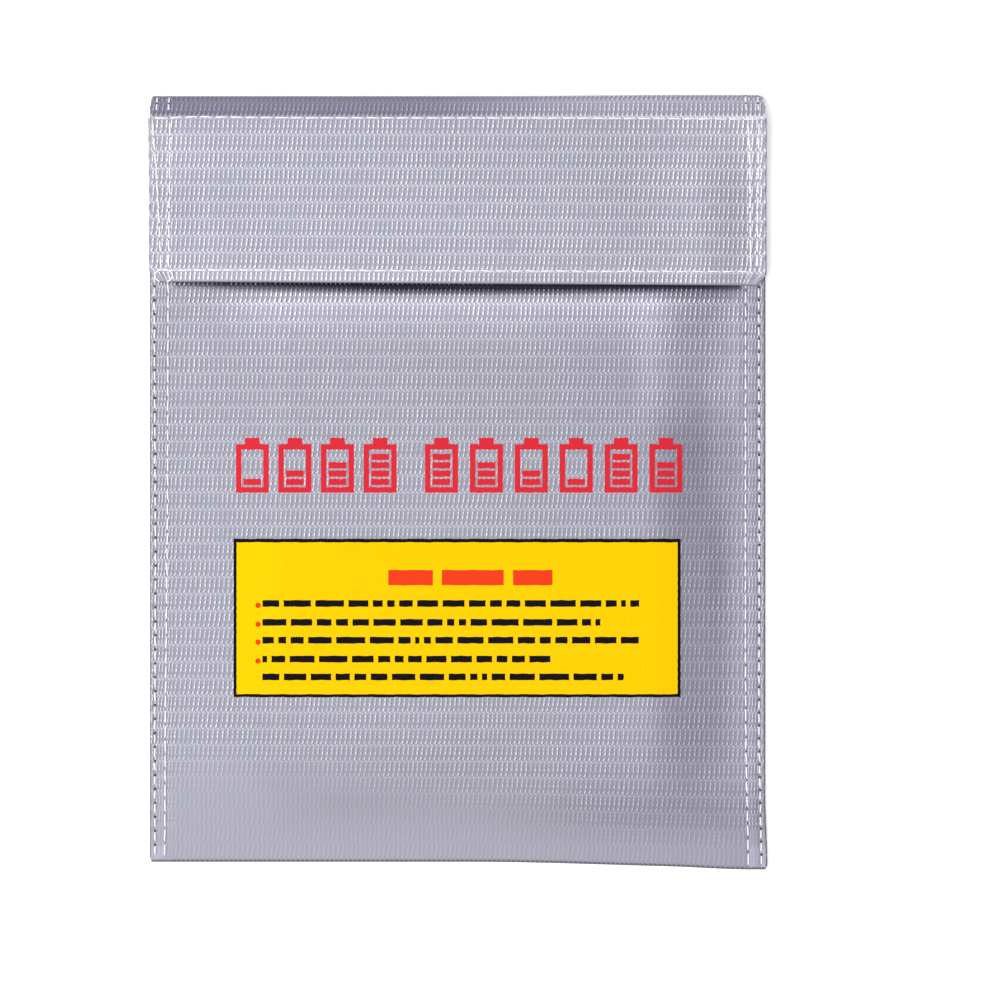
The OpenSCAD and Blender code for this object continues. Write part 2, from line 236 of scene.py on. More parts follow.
def glass_weave():
    """Node group: how bright each spot of the woven coating is painted, painted sheen, highlights
    and shade included, and its relief. The weave has columns across the cloth and rows of
    slanted dashes along it."""
    tree = bpy.data.node_groups.new("glass weave", "ShaderNodeTree")
    for word in ("Bright", "Relief"):
        tree.interface.new_socket(word, in_out="OUTPUT", socket_type="NodeSocketFloat")
    put, maths, wire = tools(tree)
    column_width, row_length = 1.794, 6.48

    def curve(value, spots):
        """A drawn line through spots, read at a value."""
        node = put("ShaderNodeFloatCurve", [1.0, value])
        line = node.mapping.curves[0]
        line.points[0].location, line.points[1].location = spots[0], spots[-1]
        for spot in spots[1:-1]:
            line.points.new(*spot)
        node.mapping.update()
        return node.outputs[0]

    def noise(scale, detail):
        return put("ShaderNodeTexNoise", {"Vector": place, "Scale": scale, "Detail": detail}).outputs[0]

    def stored(word):
        return put("ShaderNodeAttribute", attribute_name=word).outputs["Fac"]

    place = put("ShaderNodeUVMap", uv_map="cloth").outputs[0]
    split = put("ShaderNodeSeparateXYZ", [place])
    x, y = split.outputs[0], split.outputs[1]
    x = maths("ADD", x, maths("MULTIPLY", maths("SUBTRACT", noise(0.028, 1.0), 0.5), 2.6))
    columns_at = maths("DIVIDE", x, column_width)
    row = maths("FRACT", maths("MULTIPLY", y, -1 / row_length))
    lean = curve(
        row,
        [(0.0, 0.12), (0.1, 0.0), (0.2, 0.0), (0.3, 0.03), (0.58, 0.12), (0.75, 0.2),
         (0.88, 0.32), (1.0, 0.5)],
    )
    across = maths("FRACT", maths("ADD", columns_at, lean))
    thread = curve(
        across,
        [(0.0, 0.2), (0.12, 0.16), (0.28, 0.28), (0.38, 0.52), (0.5, 1.0), (0.6, 0.66),
         (0.68, 0.1), (0.76, 0.0), (0.88, 0.06), (1.0, 0.2)],
    )
    strength = curve(
        row,
        [(0.0, 0.34), (0.07, 0.1), (0.16, 0.12), (0.23, 0.6), (0.29, 0.9), (0.36, 0.5),
         (0.43, 0.42), (0.5, 0.8), (0.57, 1.0), (0.64, 0.6), (0.71, 0.16), (0.79, 0.36),
         (0.89, 0.92), (0.95, 0.7), (1.0, 0.34)],
    )
    ground = curve(
        row,
        [(0.0, 0.4), (0.07, 0.62), (0.14, 0.5), (0.24, 0.3), (0.45, 0.36), (0.62, 0.42),
         (0.72, 0.3), (0.9, 0.34), (1.0, 0.4)],
    )
    # no two dashes are equally bright: each half row of a column has its own strength
    which = maths("FLOOR", maths("ADD", columns_at, lean))
    half_row = maths("FLOOR", maths("MULTIPLY", y, -2 / row_length))
    cell = put("ShaderNodeCombineXYZ", [which, half_row]).outputs[0]
    odd = put("ShaderNodeTexWhiteNoise", [cell], noise_dimensions="2D").outputs[0]
    uneven = maths("ADD", maths("MULTIPLY", odd, 0.55), maths("MULTIPLY", noise(0.085, 2.0), 1.3))
    ticks = maths("MULTIPLY", maths("SUBTRACT", thread, 0.17), strength)
    ticks = maths("MULTIPLY", ticks, uneven)
    # the plain band between the rows of dashes shows one small slanted knuckle a column
    knuckle = maths("SINE", maths("MULTIPLY_ADD", columns_at, 2 * math.pi, maths("MULTIPLY", row, -20.0)))
    band = curve(
        row, [(0.0, 0.5), (0.05, 0.9), (0.1, 1.0), (0.15, 0.8), (0.21, 0.0), (0.93, 0.0), (1.0, 0.5)]
    )
    ticks = maths("ADD", ticks, maths("MULTIPLY", band, maths("MULTIPLY_ADD", knuckle, 0.14, 0.11)))
    grain = noise(2.3, 2.0)
    ticks = maths("ADD", ticks, maths("MULTIPLY", maths("SUBTRACT", grain, 0.5), 0.5))
    worn_and_sheen, shade = stored("worn_and_sheen"), stored("shade")
    kept = maths("SUBTRACT", 1.0, worn_and_sheen)
    relief = maths("MULTIPLY", ticks, kept)
    # the level: the ground between the threads, a painted sheen where the coating is worn smooth, and the
    # raised threads painted lighter, partly their own lighter crowns and partly a painted highlight
    level = maths("ADD", 0.176, maths("MULTIPLY", maths("MULTIPLY", ground, kept), 0.06))
    level = maths("ADD", level, maths("MULTIPLY", worn_and_sheen, 0.04))
    level = maths("ADD", level, maths("MULTIPLY", relief, 0.4))
    hair = maths("MULTIPLY_ADD", thread, 0.035, maths("MULTIPLY", grain, 0.04))
    level = maths("ADD", level, maths("MULTIPLY", maths("SUBTRACT", hair, 0.03), worn_and_sheen))
    # the raised threads catch light at a shadow's edge, and its darkest part hides them
    caught = maths("MULTIPLY_ADD", shade, -0.62, maths("MULTIPLY", ticks, 1.5))
    deep_enough = curve(shade, [(0.0, 0.0), (0.15, 0.0), (0.45, 1.0), (1.0, 1.0)])
    caught = maths("MULTIPLY", maths("MAXIMUM", caught, 0.0), deep_enough)
    level = maths("MULTIPLY", level, maths("SUBTRACT", 1.0, maths("SUBTRACT", shade, caught)))
    put("NodeGroupOutput", {"Bright": level, "Relief": relief})
    return tree


def silver_cloth(name, level):
    """The coated cloth's finish; level sets how light this piece of it is painted, and a higher level on
    the same cloth is painted light.
    """
    finish, skin = new_finish(name, Metallic=0.35, Roughness=0.5)
    put, maths, wire = tools(finish.node_tree)
    weave = put("ShaderNodeGroup", node_tree=bpy.data.node_groups.get("glass weave") or glass_weave())
    silver = ramp(
        put,
        maths("MULTIPLY", weave.outputs["Bright"], level),
        (0.0, (0.006, 0.004, 0.016)),
        (0.05, (0.034, 0.030, 0.056)),
        (0.13, (0.128, 0.126, 0.153)),
        (0.30, (0.296, 0.290, 0.353)),
        (0.70, (0.69, 0.687, 0.76)),
        (1.0, (1, 1, 1)),
    )
    # cool tints the cloth violet: on the top fold this is a painted reflection
    cool = put("ShaderNodeAttribute", attribute_name="cool").outputs["Fac"]
    violet = (0.98, 0.945, 1.12, 1)
    tint = put("ShaderNodeMix", {0: cool, 6: silver, 7: violet}, data_type="RGBA", blend_type="MULTIPLY")
    wire(tint.outputs[2], skin, "Base Color")
    bump = put("ShaderNodeBump", {"Strength": 0.25, "Distance": FINE, "Height": weave.outputs["Relief"]})
    wire(bump.outputs[0], skin, "Normal")
    return finish


def fold_mid(t, x):
    """Middle of the cloth along the top fold, from the back at t 0 to the flap at t 1,
    and the way the cloth runs there. The fold is pressed nearly flat."""
    p = ((145.2, 0.3), (150.5 + 0.9 * ease((x - 20) / 60), 0.2), (144.1, 6.1), (139.9, 10.3))
    u = 1 - t
    spot = [
        u**3 * p[0][k] + 3 * u * u * t * p[1][k] + 3 * u * t * t * p[2][k] + t**3 * p[3][k]
        for k in (0, 1)
    ]
    way = [
        u * u * (p[1][k] - p[0][k]) + 2 * u * t * (p[2][k] - p[1][k]) + t * t * (p[3][k] - p[2][k])
        for k in (0, 1)
    ]
    size = np.hypot(way[0], way[1])
    return spot[0], spot[1], way[0] / size, way[1] / size


def fold_grid(ts, xs, offset):
    """Points on the top fold, offset outwards from the middle of the cloth."""
    t, x = np.meshgrid(ts, xs, indexing="ij")
    y, z, dy, dz = fold_mid(t, x)
    corner = 0.6 * ease((np.abs(x) - 112) / 5) ** 2 * (x > 0) * bell((z - 2.5) / 4)
    return np.stack([x, y + dz * offset - corner, z - dy * offset], -1)
def fold_worn_and_sheen(x):
    """How worn smooth and painted with sheen the top fold is, across its width."""
    return 0.8 - 0.6 * ease((x + 5) / 80) - 0.6 * ease((-108 - x) / 3)


def fold_light(x):
    """How much painted light lightens the top fold's front towards its right end."""
    return 0.72 * ease((x + 30) / 95)


def fold_cool(x):
    """How violet the top fold is painted, a painted reflection, less so towards its right end."""
    return 1 - 0.6 * ease((x + 50) / 140)


def fold_edge(t):
    """The painted shade along the fold's upper edge."""
    return 0.3 * bell((t - 0.5) / 0.14)


across = columns(HALF)
front_y = np.linspace(MOUTH_Y, BOTTOM_Y, 218)
y, x = np.meshgrid(front_y, across, indexing="ij")
top = face(x, y)
front_out = np.stack([*settle(x, y), top], -1)
front_in = np.stack([*settle(x, y), top - CLOTH], -1)
turn = np.linspace(90, 270, 9)[1:-1]
bend = 2 * CLOTH
a, x = np.meshgrid(np.radians(turn), across, indexing="ij")
turn_out = np.stack([*settle(x, BOTTOM_Y + bend * np.cos(a)), bend + bend * np.sin(a)], -1)
turn_in = np.stack([*settle(x, BOTTOM_Y + CLOTH * np.cos(a)), bend + CLOTH * np.sin(a)], -1)
back_y = np.linspace(BOTTOM_Y, BACK_TOP, 46)
y, x = np.meshgrid(back_y, across, indexing="ij")
back_out = np.stack([*settle(x, y), np.zeros_like(x)], -1)
back_in = np.stack([*settle(x, y), np.full_like(x, CLOTH)], -1)
up_ts = np.linspace(0, 0.5, 13)
wide = across * 1.002
outer = np.concatenate([front_out, turn_out, back_out, fold_grid(up_ts, wide, CLOTH / 2)])
inner = np.concatenate([front_in, turn_in, back_in, fold_grid(up_ts, wide, -CLOTH / 2)])

# how far along the strip each row of points lies, for the weave
run = np.concatenate(
    [
        front_y,
        BOTTOM_Y - 0.9 * np.radians(turn - 90),
        BOTTOM_Y - TURN_RUN - (back_y - BOTTOM_Y),
        BOTTOM_Y - TURN_RUN - (BACK_TOP - BOTTOM_Y) - CREASE_RUN - up_ts * FOLD_RUN,
    ]
)
run = run + WEAVE_START - 0.8 * ease((run - 62) / 10)
uv = np.stack(np.broadcast_arrays(across[None, :], run[:, None]), -1)
uv[..., 0] += 0.45 * np.sign(uv[..., 0]) * np.clip(np.abs(uv[..., 0]) - 108, 0, None)

x, y = outer[..., 0], outer[..., 1]
number = np.arange(len(run))[:, None]
on_front = (number < len(front_y)) * np.ones_like(x)
on_turn = (number >= len(front_y)) & (number < len(front_y) + len(turn))
on_fold = number >= len(run) - len(up_ts)
t_fold = np.concatenate([np.zeros(len(run) - len(up_ts)), up_ts])[:, None]

# worn and sheen: worn smooth and painted lighter as a sheen near the bottom, a little at the right,
# and on the top fold, but not by the stitches; just below the flap's gap the threads stand out
# more, as painted highlights at the shadow's edge
worn_and_sheen = ease((-106 - y + 12 * bell((x + 80) / 60) - 13 * ease((x - 10) / 60)) / 26)
worn_and_sheen = worn_and_sheen * (0.95 - 0.1 * ease((x - 20) / 90))
worn_and_sheen = worn_and_sheen + 0.25 * ease((x - 45) / 45) * ease((65 - y) / 30) * (1 - worn_and_sheen)
worn_and_sheen = on_front * (worn_and_sheen - 0.45 * ease((np.abs(x) - 107.5) / 2.5) * ease((y + 136) / 6))
worn_and_sheen = worn_and_sheen - 0.7 * on_front * bell((y - 70.2) / 2.6) * ease((106 - np.abs(x)) / 6)
worn_and_sheen = np.where(on_fold, fold_worn_and_sheen(x), worn_and_sheen)

# painted shade: the dark gap under the flap's edge, the bottom turn and the top fold's upper edge; painted
# light on the fold towards its right end
shade = on_front * ease((109.5 - np.abs(x)) / 2) * ease((80.5 - y) / 4)
shade = shade * (0.83 + 0.03 * ease((np.abs(x) - 70) / 25))
gap_low = 72.1 + 1.2 * ease((-20 - x) / 60) - 0.6 * bell((x - 10) / 80)
shade = shade * ease((y - gap_low) / 2.6)
shade = np.where(on_turn, 0.35, shade)
shade = np.where(on_fold, fold_edge(t_fold) - fold_light(x) * (t_fold > 0.3), shade)
# and painted light below the gap, at the upper right, at the right and at the feet of the side seams,
# painted shade at the bottom right
inside_rows = ease((109 - x) / 3)
shade = shade - 0.3 * on_front * bell((y - 65.5) / 7) * ease((102 - np.abs(x)) / 30)
shade = shade - 0.3 * on_front * ease((x - 62) / 18) * inside_rows * ease((y - 10) / 30) * (y < 70)
shade = shade + 0.17 * on_front * bell((y + 127) / 9) * ease((x - 5) / 60) * (y < -60)
right_middle = ease((x - 80) / 12) * inside_rows * ease((20 - y) / 30) * ease((y + 105) / 20)
shade = shade - 0.07 * on_front * right_middle
seam_feet = on_front * ease((-137.5 - y) / 3) * ease((np.abs(x) - 110.5) / 2)
shade = shade - 0.16 * seam_feet

# cool: the top fold's violet is a painted reflection; the front also gets a violet tint towards its right
cool = np.where(on_fold, fold_cool(x), 0.3 * on_front * ease((x - 20) / 80))
pouch_cloth = closed_cloth("pouch_cloth", outer, inner, uv, worn_and_sheen, shade, cool)
pouch_cloth.data.materials.append(silver_cloth("silver_cloth", 1.0))
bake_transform(pouch_cloth)
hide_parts("front_panel", "bottom_fold", "back_panel")
# ---------------------------------------------------------------------------
# Side seams: the silver cloth's edges, of the front and of the back, are turned in,
# laid face to face and sewn through. Only their two rounded turns show from outside.
TUCK = 8.4  # width of the cloth that is turned in


def outwards(made):
    """Points every face of a closed mesh outwards."""
    work = bmesh.new()
    work.from_mesh(made.data)
    bmesh.ops.recalc_face_normals(work, faces=work.faces)
    work.to_mesh(made.data)
    work.free()
    return made


def closed_tube(name, rings, slant=0.0):
    """A closed body through a row of rings of points, capped at both ends. Slant carries the
    weave on over its thickness."""
    count, around = rings.shape[:2]
    at = np.arange(count * around).reshape(count, around)
    after = np.roll(at, -1, axis=1)
    quads = np.stack([at[:-1], after[:-1], after[1:], at[1:]], -1).reshape(-1, 4).tolist()
    faces = quads + [at[0][::-1].tolist(), at[-1].tolist()]
    mesh = bpy.data.meshes.new(name)
    mesh.from_pydata((rings.reshape(-1, 3) * MM).tolist(), [], faces)
    lay_weave(mesh, (rings[..., :2] + slant * rings[..., 2:]).reshape(-1, 2))
    mesh.polygons.foreach_set("use_smooth", np.ones(len(faces), bool))
    mesh.set_sharp_from_angle(angle=math.radians(40))
    return outwards(placed(name, mesh))


def joined(parts):
    """Several objects made one."""
    with bpy.context.temp_override(
        active_object=parts[0], selected_editable_objects=parts, selected_objects=parts
    ):
        bpy.ops.object.join()
    return parts[0]


def turned_edge(low, start, end, side, name):
    """The section of one turned-in edge, swept along the side."""
    arc = [
        (CLOTH * math.sin(t), CLOTH - CLOTH * math.cos(t)) for t in np.radians(np.arange(0, 181, 22.5))
    ]
    if low == 0:  # the back's edge turns up, the front's turns down
        section = [(-TUCK, 1.2), (-TUCK, 0.62), (0, 0.62), *arc]
    else:
        section = [(-TUCK, 0.0), *arc, (0.0, CLOTH), (-TUCK, CLOTH)]
    rings = []
    for spot in np.arange(start, end + 0.01, 2.0):
        ring = []
        for a, b in section:
            x, y = settle(side * (HALF + a), spot)
            ring.append((x, y, low + b))
        rings.append(ring)
    return closed_tube(name, np.array(rings, float), slant=0.3)


seam_cloth = silver_cloth("seam_cloth", 0.96)
for side, word in ((-1, "left"), (1, "right")):
    lower = turned_edge(0.0, BOTTOM_Y + 0.1, BACK_TOP + 0.1, side, f"side_seam_{word}")
    upper = turned_edge(2 * CLOTH, BOTTOM_Y + 0.1, MOUTH_Y, side, "upper")
    lower.data.materials.append(seam_cloth)
    upper.data.materials.append(seam_cloth)
    seam = joined([lower, upper])
    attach(seam, "pouch")
    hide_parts(f"side_seam_{word}")

# ---------------------------------------------------------------------------
# Mouth hem: the top edge of the front's silver cloth is turned in once and sewn down,
# so the mouth has a round double edge.
HALF_TURN = np.radians(np.arange(0, 181, 30))
rings = []
for spot in np.linspace(-107.6, 107.6, 130):
    top = float(face(spot, MOUTH_Y))
    arc = [(MOUTH_Y + CLOTH * math.sin(t), top - CLOTH + CLOTH * math.cos(t)) for t in HALF_TURN]
    inside = [(yy, float(face(spot, yy)) - 2 * CLOTH) for yy in (133.0, 130.0, 127.0)]
    back = [(yy, float(face(spot, yy)) - 0.62) for yy in (127.0, 130.0, 133.0, 135.9)]
    rings.append([(spot, yy, zz) for yy, zz in arc + inside + back])
mouth_hem = closed_tube("mouth_hem", np.array(rings, float))
mouth_hem.data.materials.append(seam_cloth)
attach(mouth_hem, "pouch")
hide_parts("mouth_hem")
# ---------------------------------------------------------------------------
# Loop tape: a 25 mm white nylon tape sewn across the front below the mouth, with a
# looped pile between two plain woven borders.
TAPE_Y = 84.4
TAPE_WIDTH = 25
TAPE_HALF = 104.0
TAPE_THICK = 0.5

tape_woven, skin = new_finish("tape_woven", Base_Color=(0.56, 0.56, 0.58, 1), Roughness=0.85)
put, maths, wire = tools(tape_woven.node_tree)
place = put("ShaderNodeUVMap", uv_map="cloth").outputs[0]
ribs = put("ShaderNodeTexWave", {"Vector": place, "Scale": 0.55, "Distortion": 0.4}).outputs["Fac"]
bump = put("ShaderNodeBump", {"Strength": 0.5, "Distance": FINE, "Height": ribs})
wire(bump.outputs[0], skin, "Normal")

tape_xs = np.linspace(-TAPE_HALF, TAPE_HALF, 90)
y, x = np.meshgrid(np.linspace(TAPE_Y + TAPE_WIDTH, TAPE_Y, 14), tape_xs, indexing="ij")
low = face(x, y) + 0.02
loop_tape = closed_cloth(
    "loop_tape", np.stack([x, y, low + TAPE_THICK], -1), np.stack([x, y, low], -1), np.stack([x, y], -1)
)
loop_tape.data.materials.append(tape_woven)
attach(loop_tape, "pouch")
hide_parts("loop_tape")
def mottled(name, scale, detail, dark, light, **values):
    """A finish that wanders between two colours."""
    finish, skin = new_finish(name, **values)
    put, maths, wire = tools(finish.node_tree)
    place = put("ShaderNodeTexCoord").outputs["Object"]
    spots = put("ShaderNodeTexNoise", {"Vector": place, "Scale": scale, "Detail": detail}).outputs[0]
    wire(ramp(put, spots, (0.0, dark), (1.0, light)), skin, "Base Color")
    return finish


nylon_pile = mottled(
    "nylon_pile", 900, 3, (0.34, 0.34, 0.36), (0.66, 0.66, 0.68), Roughness=0.7, Sheen_Weight=0.3
)


def thread_tree(name, seed, **sizes):
    """A geometry tree that grows threads on points: its inputs are its sizes, in metres, a seed
    and a finish. It gives the tree, its tools and its inputs."""
    tree = bpy.data.node_groups.new(name, "GeometryNodeTree")
    socket = tree.interface.new_socket
    socket("Geometry", in_out="INPUT", socket_type="NodeSocketGeometry")
    for word, value in sizes.items():
        socket(word.replace("_", " "), in_out="INPUT", socket_type="NodeSocketFloat").default_value = value
    socket("Seed", in_out="INPUT", socket_type="NodeSocketInt").default_value = seed
    socket("Finish", in_out="INPUT", socket_type="NodeSocketMaterial")
    socket("Geometry", in_out="OUTPUT", socket_type="NodeSocketGeometry")
    put, maths, wire = tools(tree)
    return tree, put, maths, wire, put("NodeGroupInput").outputs


def on_points(put, word, kind):
    """A value that is stored on the points."""
    return put("GeometryNodeInputNamedAttribute", {"Name": word}, data_type=kind).outputs["Attribute"]


def at_random(put, low, high, seed):
    """A number or a vector between two others."""
    kind, first, result = ("FLOAT", 2, 1) if isinstance(low, float) else ("FLOAT_VECTOR", 0, 0)
    inputs = {first: low, first + 1: high, "Seed": seed}
    return put("FunctionNodeRandomValue", inputs, data_type=kind).outputs[result]


def thread_along(put, start, path, sides):
    """A round thread along a path."""
    ring = put("GeometryNodeCurvePrimitiveCircle", {"Resolution": sides, "Radius": start["Thread radius"]})
    inputs = {"Curve": path, "Profile Curve": ring.outputs[0], "Fill Caps": True}
    return put("GeometryNodeCurveToMesh", inputs).outputs[0]


def stood_up(put, dots, shape, **scale):
    """A copy of a shape on each point, turned to the surface and the direction stored there."""
    axes = [on_points(put, word, "FLOAT_VECTOR") for word in ("up", "along")]
    tilt = put("FunctionNodeAxesToRotation", axes, primary_axis="Z", secondary_axis="X").outputs[0]
    inputs = {"Points": dots, "Instance": shape, "Rotation": tilt, **scale}
    return put("GeometryNodeInstanceOnPoints", inputs).outputs[0]


def turned(put, copies, low, high, seed):
    """The copies, each turned a little at random."""
    inputs = {"Instances": copies, "Rotation": at_random(put, low, high, seed)}
    return put("GeometryNodeRotateInstances", inputs).outputs[0]


def finished(put, copies, finish):
    """The copies as plain mesh with their finish."""
    real = put("GeometryNodeRealizeInstances", [copies]).outputs[0]
    return put("GeometryNodeSetMaterial", {"Geometry": real, "Material": finish}).outputs[0]


def tufts_tree(name, thread, height, sides):
    """Geometry nodes: stands a bent thread on every point, turned and sized at random."""
    tree, put, maths, wire, start = thread_tree(
        name, 7, Thread_radius=thread, Height=height, Width=height * 0.75
    )
    dots = put("GeometryNodeMeshToPoints", {"Mesh": start["Geometry"]}).outputs[0]
    shape = {"Resolution": 7}
    for word, sign in (("Start", -1.0), ("End", 1.0)):
        foot = {0: maths("MULTIPLY", start["Width"], 0.5 * sign)}
        pull = {
            0: maths("MULTIPLY", start["Width"], 1.1 * sign),
            2: maths("MULTIPLY", start["Height"], 1.33),
        }
        shape[word] = put("ShaderNodeCombineXYZ", foot).outputs[0]
        shape[f"{word} Handle"] = put("ShaderNodeCombineXYZ", pull).outputs[0]
    bend = put("GeometryNodeCurvePrimitiveBezierSegment", shape).outputs[0]
    tuft = thread_along(put, start, bend, sides)
    tufts = stood_up(put, dots, tuft, Scale=at_random(put, 0.75, 1.1, start["Seed"]))
    tufts = turned(put, tufts, (-0.25, -0.25, -3.1), (0.25, 0.25, 3.1), start["Seed"])
    put("NodeGroupOutput", [finished(put, tufts, start["Finish"])])
    return tree


def grown(name, tree, points, along, up, finish, body, long=None, **sizes):
    """Runs a tree on points with their directions and keeps the result as a plain mesh."""
    mesh = bpy.data.meshes.new(name + "_points")
    mesh.from_pydata((np.asarray(points) * MM).tolist(), [], [])
    for word, value in (("along", along), ("up", up)):
        store(mesh, word, np.broadcast_to(np.asarray(value, float), (len(points), 3)))
    if long is not None:
        store(mesh, "long", np.asarray(long) * MM)
    seeds = placed(name + "_points", mesh)
    modifier = seeds.modifiers.new("made", "NODES")
    modifier.node_group = tree
    values = {**sizes, "Finish": finish}
    for item in tree.interface.items_tree:
        if item.in_out == "INPUT" and item.name in values:
            modifier[item.identifier] = values[item.name]
    view = bpy.context.evaluated_depsgraph_get()
    plain = bpy.data.meshes.new_from_object(seeds.evaluated_get(view), depsgraph=view)
    plain.name = name
    bpy.data.objects.remove(seeds)
    made = placed(name, plain)
    plain.polygons.foreach_set("use_smooth", np.ones(len(plain.polygons), bool))
    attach(made, body)
    return made


loop_step, loop_stray = 1.25, 0.3
xs = np.arange(-TAPE_HALF + 0.6, TAPE_HALF - 0.5, loop_step)
ys = np.arange(TAPE_Y + 3.6, TAPE_Y + 21.5, loop_step)
x, y = (g.ravel() for g in np.meshgrid(xs, ys))
rng = np.random.default_rng(4)
x = x + rng.uniform(-loop_stray, loop_stray, x.shape)
y = y + rng.uniform(-loop_stray, loop_stray, y.shape)
loops = grown(
    "loop_pile",
    tufts_tree("loop pile", 0.00009, 0.0008, 3),
    np.stack([x, y, face(x, y) + TAPE_THICK], -1),
    (1, 0, 0),
    (0, 0, 1),
    nylon_pile,
    "pouch",
)
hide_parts("loop_pile")

# ---------------------------------------------------------------------------
# Stitches of the pouch: white polyester thread, two rows down each side seam, one
# along the mouth hem and two on the loop tape. Each stitch dips into its holes.
white_thread, skin = new_finish("white_thread", Roughness=0.6, Sheen_Weight=0.2)
put, maths, wire = tools(white_thread.node_tree)
twist = maths("FRACT", put("ShaderNodeAttribute", attribute_name="ply").outputs["Fac"])
wire(ramp(put, twist, (0.05, (0.72, 0.72, 0.76)), (0.4, (0.93, 0.93, 0.95))), skin, "Base Color")
# needle holes are dark discs: painted shade
needle_hole_shade = mottled("needle_hole_shade", 260, 2, (0.03, 0.03, 0.045), (0.14, 0.14, 0.17), Roughness=0.9)

PLIES = 7.0  # turns of the thread's twist in a stitch
HOLE_BACK = -0.62  # how far behind a stitch's middle its hole lies, in lengths of the stitch
stitch_tree, put, maths, wire, start = thread_tree(
    "stitch row", 3, Thread_radius=0.00033, Lift=0.00042, Dip=0.0002, Hole_size=0.00042
)
dots = put("GeometryNodeMeshToPoints", {"Mesh": start["Geometry"]}).outputs[0]
foot = maths("MULTIPLY", start["Dip"], -1.0)
crown = maths("MULTIPLY_ADD", start["Lift"], 2.0, start["Dip"])
shape = {"Resolution": 7}
for word, at_x, height in (("Start", -0.5, foot), ("Middle", 0.0, crown), ("End", 0.5, foot)):
    shape[word] = put("ShaderNodeCombineXYZ", {0: at_x, 2: height}).outputs[0]
arch = put("GeometryNodeCurveQuadraticBezier", shape).outputs[0]
walk = put("GeometryNodeSplineParameter").outputs["Factor"]
ply = {"Geometry": arch, "Name": "ply", "Value": maths("MULTIPLY", walk, PLIES)}
arch = put("GeometryNodeStoreNamedAttribute", ply, data_type="FLOAT", domain="POINT").outputs[0]
long = on_points(put, "long", "FLOAT")
stretch = maths("MULTIPLY", long, at_random(put, 0.9, 1.06, start["Seed"]))
scale = put("ShaderNodeCombineXYZ", [stretch, 1.0, 1.0]).outputs[0]
stitches = stood_up(put, dots, thread_along(put, start, arch, 6), Scale=scale)
stitches = turned(put, stitches, (0.0, 0.0, -0.07), (0.0, 0.0, 0.07), start["Seed"])
# a small dark disc at the start of each stitch, the painted shade of its needle hole
hole = put("GeometryNodeMeshCylinder", {"Vertices": 7, "Depth": 0.00006, "Radius": start["Hole size"]})
known = {"Geometry": hole.outputs["Mesh"], "Name": "hole", "Value": True}
known = put("GeometryNodeStoreNamedAttribute", known, data_type="BOOLEAN", domain="FACE").outputs[0]
back = {0: on_points(put, "along", "FLOAT_VECTOR"), "Scale": maths("MULTIPLY", long, HOLE_BACK)}
shift = put("ShaderNodeVectorMath", back, operation="SCALE").outputs[0]
pits = put("GeometryNodeSetPosition", {"Geometry": dots, "Offset": shift}).outputs[0]
both = put("GeometryNodeJoinGeometry", [stood_up(put, pits, known)])
wire(stitches, both, 0)
threads = finished(put, both.outputs[0], start["Finish"])
dark = {
    "Geometry": threads,
    "Selection": on_points(put, "hole", "BOOLEAN"),
    "Material": needle_hole_shade,
}
put("NodeGroupOutput", [put("GeometryNodeSetMaterial", dark).outputs[0]])


def stitch_places(lines, height):
    """Middles, directions, normals and lengths of the stitches along some lines.
    A line is its points (x, y), its pitch and the share of it that is thread."""
    middles, ways, normals, lengths = [], [], [], []
    for spots, pitch, share in lines:
        spots = np.array(spots, float)
        steps = np.hypot(*np.diff(spots, axis=0).T)
        reach = np.concatenate([[0], np.cumsum(steps)])
        count = max(1, int(round(reach[-1] / pitch)))
        at = (np.arange(count) + 0.5) * reach[-1] / count
        x, y = (np.interp(at, reach, spots[:, k]) for k in (0, 1))
        ahead = [np.interp(at + 0.5, reach, spots[:, k]) for k in (0, 1)]
        behind = [np.interp(at - 0.5, reach, spots[:, k]) for k in (0, 1)]
        way = np.stack([ahead[0] - behind[0], ahead[1] - behind[1], height(*ahead) - height(*behind)], -1)
        slope = [
            (height(x + 0.4, y) - height(x - 0.4, y)) / 0.8,
            (height(x, y + 0.4) - height(x, y - 0.4)) / 0.8,
        ]
        middles.append(np.stack([x, y, height(x, y)], -1))
        ways.append(way / np.linalg.norm(way, axis=1, keepdims=True))
        normals.append(np.stack([-slope[0], -slope[1], np.ones_like(x)], -1))
        lengths.append(np.full(count, reach[-1] / count * share))
    return tuple(np.concatenate(part) for part in (middles, ways, normals, lengths))
def sew(name, lines, height, body, seed, hole=0.00012, side=1):
    """Sews rows of stitches on a surface as one piece. Hole is the holes' radius in metres, and
    side is -1 on a surface that faces down."""
    middles, ways, normals, lengths = stitch_places(lines, height)
    sizes = {"Seed": seed, "Hole size": hole}
    made = grown(
        name, stitch_tree, middles, ways, side * normals, white_thread, body, long=lengths, **sizes
    )
    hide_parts(name)


def plain_face(x, y):
    """The front without the pull of the stitches, for thread to lie on."""
    return face(x, y) + 0.6 * side_rows(x, y)


